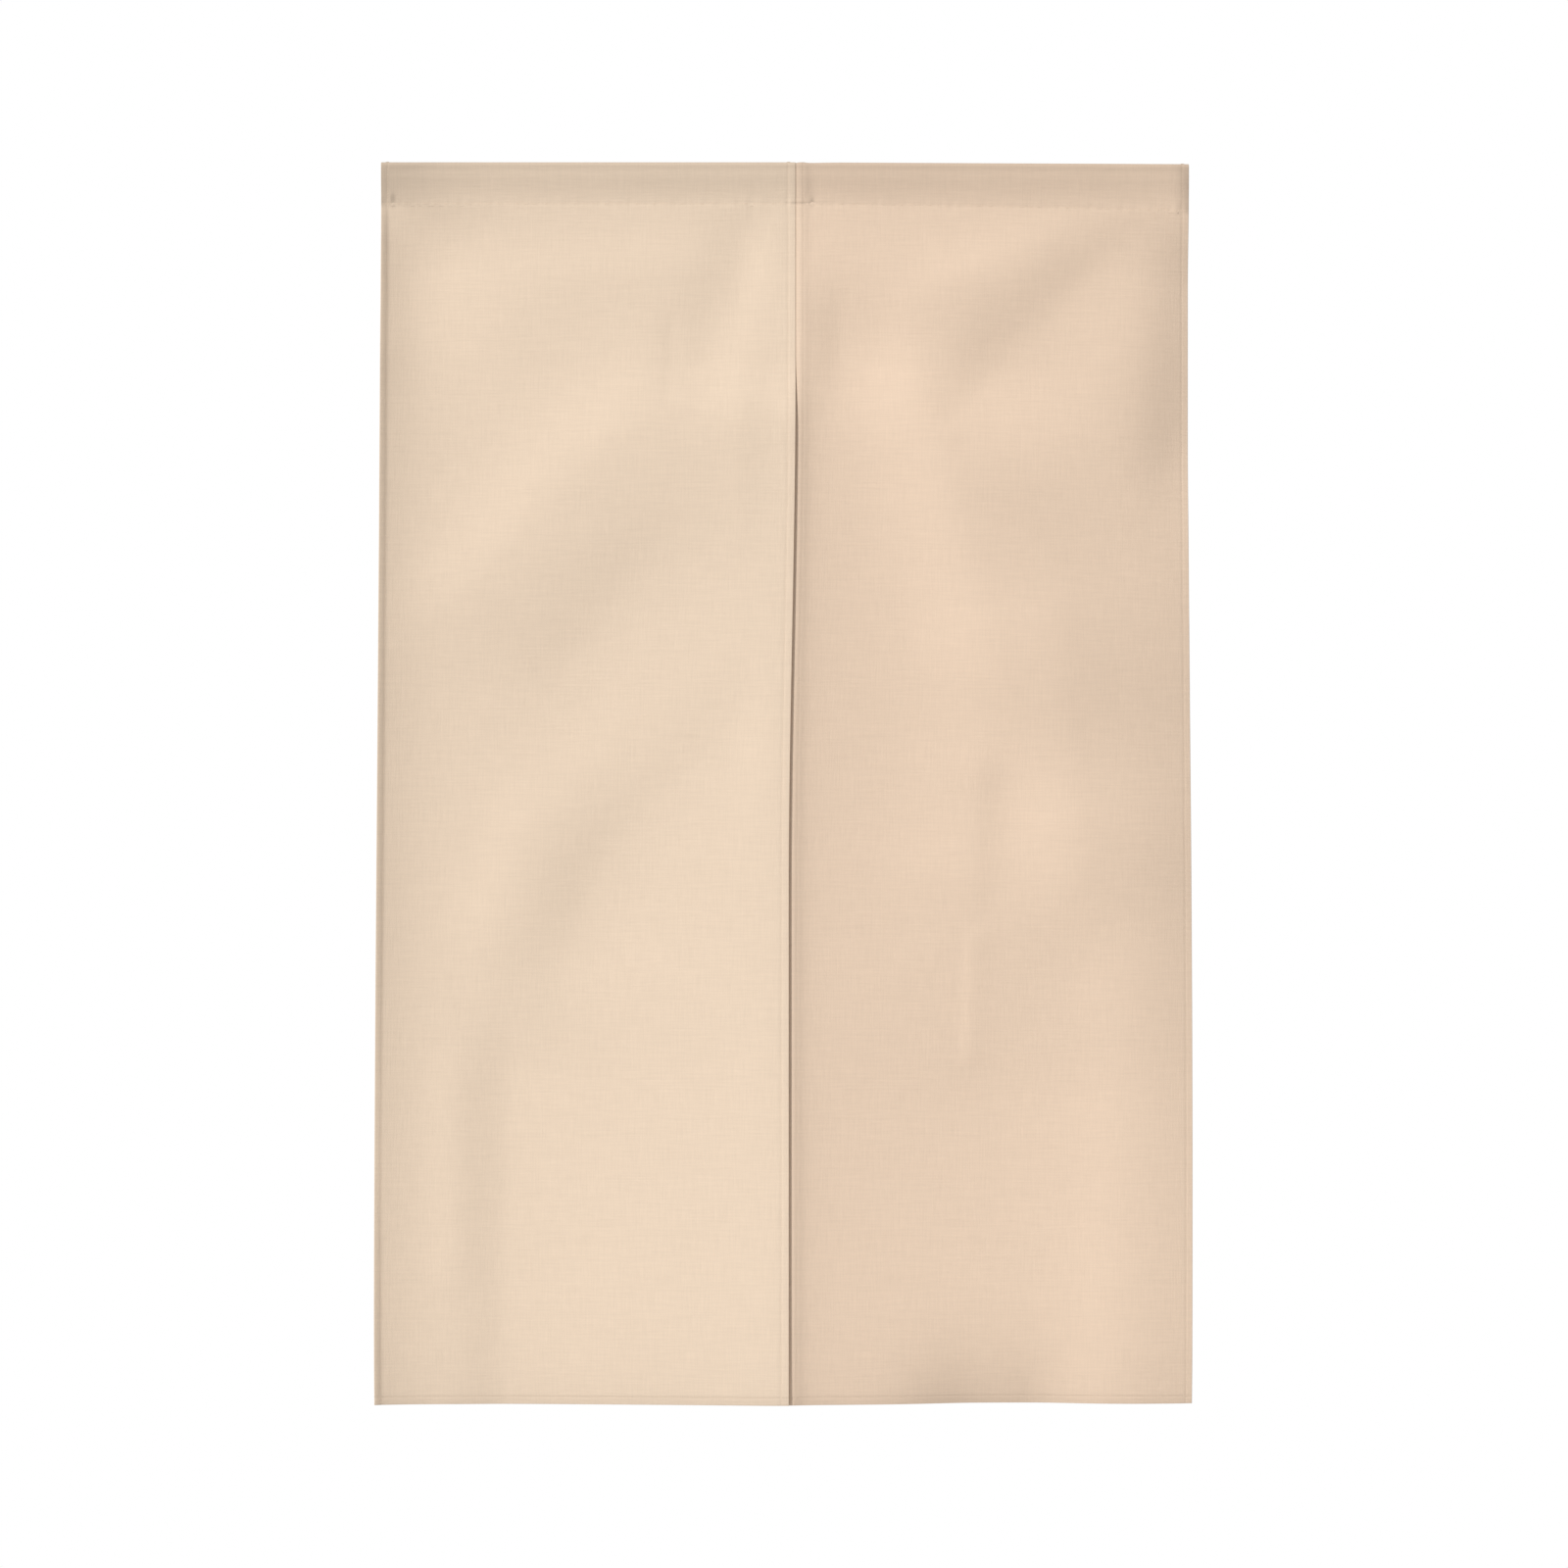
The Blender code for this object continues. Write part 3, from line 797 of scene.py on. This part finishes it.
weave = {
    "threadPitch": 0.00075,
    "colour": (0.830, 0.664, 0.508, 1.0),
    "layerShadeColour": (0.560, 0.448, 0.343, 1.0),      # the painted shade colour, three layers deep
    "rightTone": (1.0, 0.965, 0.955),
    "slubLong": 0.030,
    "slubFine": 0.0016,
    "slubStrength": 0.055,
    "slubSeeds": (3.7, 8.1),    # weft and warp
    "slubRelief": 1.2,
    "cloudScale": 14.0,
    "cloudTone": 0.03,
    # painted shade in the weave's low points
    "weaveGapShade": 0.05,
    "meanHeight": 0.9,
    "bumpDepth": 0.00012,
    "roughness": 0.86,
    "roughnessVaries": 0.06,
    "specular": 0.25,
    "sheen": 0.10,
    "sheenRoughness": 0.5,
}

threadLook = {
    "dark": (0.70, 0.54, 0.40, 1.0),
    "light": (0.88, 0.72, 0.56, 1.0),
    "twistScale": 2600.0,
    "bumpDepth": 0.00004,
    "roughness": 0.7,
}


def toned(colour, tone):
    # a colour times a tone, channel by channel
    return tuple(c * t for c, t in zip(colour[:3], tone)) + (1.0,)


def clothMaterial(name, tone):
    # plain weave: warp and weft are rectified sines, and the one that lies higher shows
    shade = Shade(name)
    uv = shade.node("ShaderNodeUVMap", {"uv_map": "flat"})
    u = shade.node("ShaderNodeSeparateXYZ", {}, {0: uv}, 0)
    v = shade.node("ShaderNodeSeparateXYZ", {}, {0: uv}, 1)
    sinU = (u * (math.pi / weave["threadPitch"])).sin()
    sinV = (v * (math.pi / weave["threadPitch"])).sin()
    warp = abs(sinU) + 0.5 * sinU.sign() * sinV
    weft = abs(sinV) - 0.5 * sinV.sign() * sinU
    height = warp.larger(weft)

    def slubs(longways, fineways, seed):
        # noise stretched along one set of threads
        place = shade.node("ShaderNodeCombineXYZ", {}, {0: u / longways, 1: v / fineways, 2: seed})
        sockets = {"Vector": place, "Scale": 1.0, "Detail": 2.0, "Roughness": 0.6}
        return shade.node("ShaderNodeTexNoise", {}, sockets)

    weftSeed, warpSeed = weave["slubSeeds"]
    weftSlubs = slubs(weave["slubLong"], weave["slubFine"], weftSeed)
    warpSlubs = slubs(weave["slubFine"], weave["slubLong"], warpSeed)
    clouds = {"Vector": uv, "Scale": weave["cloudScale"], "Detail": 3.0, "Roughness": 0.5}
    cloudy = shade.node("ShaderNodeTexNoise", {}, clouds)
    slub = weftSlubs + warpSlubs - 1.0
    shadeOf = 1.0 + weave["slubStrength"] * 2.0 * slub + weave["cloudTone"] * (cloudy - 0.5)
    # painted shade where the weave's threads dip
    shadeOf = shadeOf + weave["weaveGapShade"] * (height - weave["meanHeight"])
    # painted shade: the layer attribute darkens the base colour towards the shaded colour
    layerShade = shade.node("ShaderNodeAttribute", {"attribute_name": "layerShade"}, {}, 2) / paintedShading["most"]
    ground = shade.node("ShaderNodeMix", {"data_type": "RGBA"},
                        {0: layerShade, 6: toned(weave["colour"], tone), 7: toned(weave["layerShadeColour"], tone)}, 2)
    colour = shade.node("ShaderNodeVectorMath", {"operation": "SCALE"}, {0: ground, "Scale": shadeOf})
    relief = height + weave["slubRelief"] * slub
    raised = {"Height": relief, "Distance": weave["bumpDepth"], "Strength": 1.0}
    bump = shade.node("ShaderNodeBump", {}, raised)
    rough = weave["roughness"] + weave["roughnessVaries"] * (cloudy - 0.5)
    return shade.finish({
        "Base Color": colour,
        "Roughness": rough,
        "Normal": bump,
        "Specular IOR Level": weave["specular"],
        "Sheen Weight": weave["sheen"],
        "Sheen Roughness": weave["sheenRoughness"],
    })


def threadMaterial():
    # sewing thread: the cloth's own colour, a little lighter, with a fine twist across it
    shade = Shade("sewingThread")
    at = shade.node("ShaderNodeTexCoord", {}, {}, 3)
    twisting = {"Vector": at, "Scale": threadLook["twistScale"], "Detail": 1.0}
    twist = shade.node("ShaderNodeTexNoise", {}, twisting)
    colour = shade.node("ShaderNodeMix", {"data_type": "RGBA"},
                        {0: twist, 6: threadLook["dark"], 7: threadLook["light"]}, 2)
    raised = {"Height": twist, "Distance": threadLook["bumpDepth"], "Strength": 0.6}
    bump = shade.node("ShaderNodeBump", {}, raised)
    return shade.finish({"Base Color": colour, "Roughness": threadLook["roughness"], "Normal": bump})


lighting = {
    "keyFrom": (-0.56, -0.56, 0.61),
    "keyEnergy": 3.20,
    "keyAngle": math.radians(7.0),
    "ambient": 0.40,
    "backEnergy": 60.0,
    "backSize": 2.0,
    "backFrom": (1.6, 3.0, 1.0),
    "cameraDistance": 6.0,
    "sensorWidth": 36.0,
    "frameCentre": (-0.001, -0.650),
    "frameSize": 1.6392,        # metres across the whole square picture, at the curtain
    "floorZ": -2.30,
    "floorReach": 1.6,
    "floorDark": (0.70, 0.70, 0.70, 1.0),
    "floorLight": (0.75, 0.75, 0.75, 1.0),
}


def aimed(name, data, place, target):
    # an object at place whose -Z looks at the target
    thing = bpy.data.objects.new(name, data)
    bpy.context.scene.collection.objects.link(thing)
    thing.location = place
    x, y, z = (target[k] - place[k] for k in range(3))
    thing.rotation_euler = (math.atan2(math.hypot(x, y), -z), 0.0, math.atan2(-x, y))
    return thing


def studio():
    # square-on camera, one soft sun from the upper left, an even white surround and a pale floor
    centreX, centreZ = lighting["frameCentre"]
    away = lighting["cameraDistance"]
    lens = bpy.data.cameras.new("camera")
    lens.sensor_fit = "HORIZONTAL"
    lens.sensor_width = lighting["sensorWidth"]
    lens.lens = lighting["sensorWidth"] * away / lighting["frameSize"]
    camera = aimed("camera", lens, (centreX, -away, centreZ), (centreX, 0.0, centreZ))
    bpy.context.scene.camera = camera
    key = bpy.data.lights.new("key", "SUN")
    key.energy = lighting["keyEnergy"]
    key.angle = lighting["keyAngle"]
    aimed("key", key, tuple(5.0 * c for c in lighting["keyFrom"]), (0.0, 0.0, 0.0))
    back = bpy.data.lights.new("backFill", "AREA")
    back.energy = lighting["backEnergy"]
    back.size = lighting["backSize"]
    aimed("backFill", back, lighting["backFrom"], (0.0, 0.0, centreZ))
    world = bpy.data.worlds.new("surround")
    bpy.context.scene.world = world
    world.use_nodes = True
    tree = world.node_tree
    ground = tree.nodes["Background"]
    ray = tree.nodes.new("ShaderNodeLightPath")
    strength = tree.nodes.new("ShaderNodeMapRange")
    strength.inputs["To Min"].default_value = lighting["ambient"]
    strength.inputs["To Max"].default_value = 1.0
    tree.links.new(ray.outputs["Is Camera Ray"], strength.inputs["Value"])
    tree.links.new(strength.outputs[0], ground.inputs["Strength"])
    ground.inputs["Color"].default_value = (1.0, 1.0, 1.0, 1.0)
    floorMesh = bpy.data.meshes.new("floor")
    reach, z = lighting["floorReach"], lighting["floorZ"]
    corners = [(-reach, -reach, z), (reach, -reach, z), (reach, reach, z), (-reach, reach, z)]
    floorMesh.from_pydata(corners, [], [(0, 1, 2, 3)])
    floor = bpy.data.objects.new("floor", floorMesh)
    bpy.context.scene.collection.objects.link(floor)
    pale = Shade("paleFloor")
    grain = pale.node("ShaderNodeTexNoise", {}, {"Scale": 3.0, "Detail": 3.0})
    tone = pale.node("ShaderNodeMix", {"data_type": "RGBA"},
                     {0: grain, 6: lighting["floorDark"], 7: lighting["floorLight"]}, 2)
    floorMesh.materials.append(pale.finish({"Base Color": tone, "Roughness": 0.9}))
    bpy.context.scene.view_settings.view_transform = "Standard"


def panelSewing(side):
    # side hems, bottom hem and sleeve seam, in front and behind
    width = flatWidth(side)
    half = 0.5 * cloth["thickness"]
    pitch = cloth["layerPitch"]
    long = -outline["bottomZ"] - outline["sleeveHeight"]
    bottomV = 2.0 - cloth["bottomStitchIn"] / long
    edge, seamEdge = sewing["fromEdge"], sewing["seamFromEdge"]
    endV = 2.0 - edge / long
    free, backV = sewing["crownFree"], sewing["backSeamV"]
    behind = -2.0 * pitch - half
    lines = []
    for d, sideBehind in [
        (side["outerStitch"], behind),
        (width - side["innerStitch"], -side["innerTurns"] * pitch - half),
    ]:
        lines.append(stitchLine(side, d, free, d, 1.0, half, 1.0))
        lines.append(stitchLine(side, d, 1.0, d, endV, half, 1.0))
        lines.append(stitchLine(side, d, 1.0, d, endV, sideBehind, -1.0))
        lines.append(stitchLine(side, d, -free, d, -1.0, half, 1.0))
    lines.append(stitchLine(side, edge, bottomV, width - edge, bottomV, half, 1.0))
    lines.append(stitchLine(side, edge, bottomV, width - edge, bottomV, behind, -1.0))
    lines.append(stitchLine(side, seamEdge, 1.0, width - seamEdge, 1.0, half, 1.0))
    lines.append(stitchLine(side, seamEdge, backV, width - seamEdge, backV, half, 1.0))
    return lines


studio()
print("studio ready")

leftLinen = clothMaterial("linenLeft", (1.0, 1.0, 1.0))
rightLinen = clothMaterial("linenRight", weave["rightTone"])
thread = threadMaterial()
leftCloth, leftFlat = clothPanel(leftSide, leftLinen)
rightCloth, rightFlat = clothPanel(rightSide, rightLinen)
print("cloth ready")
leftStitches = sewnLines("stitchesLeft", panelSewing(leftSide), thread)
rightStitches = sewnLines("stitchesRight", panelSewing(rightSide), thread)
print("sewing ready")
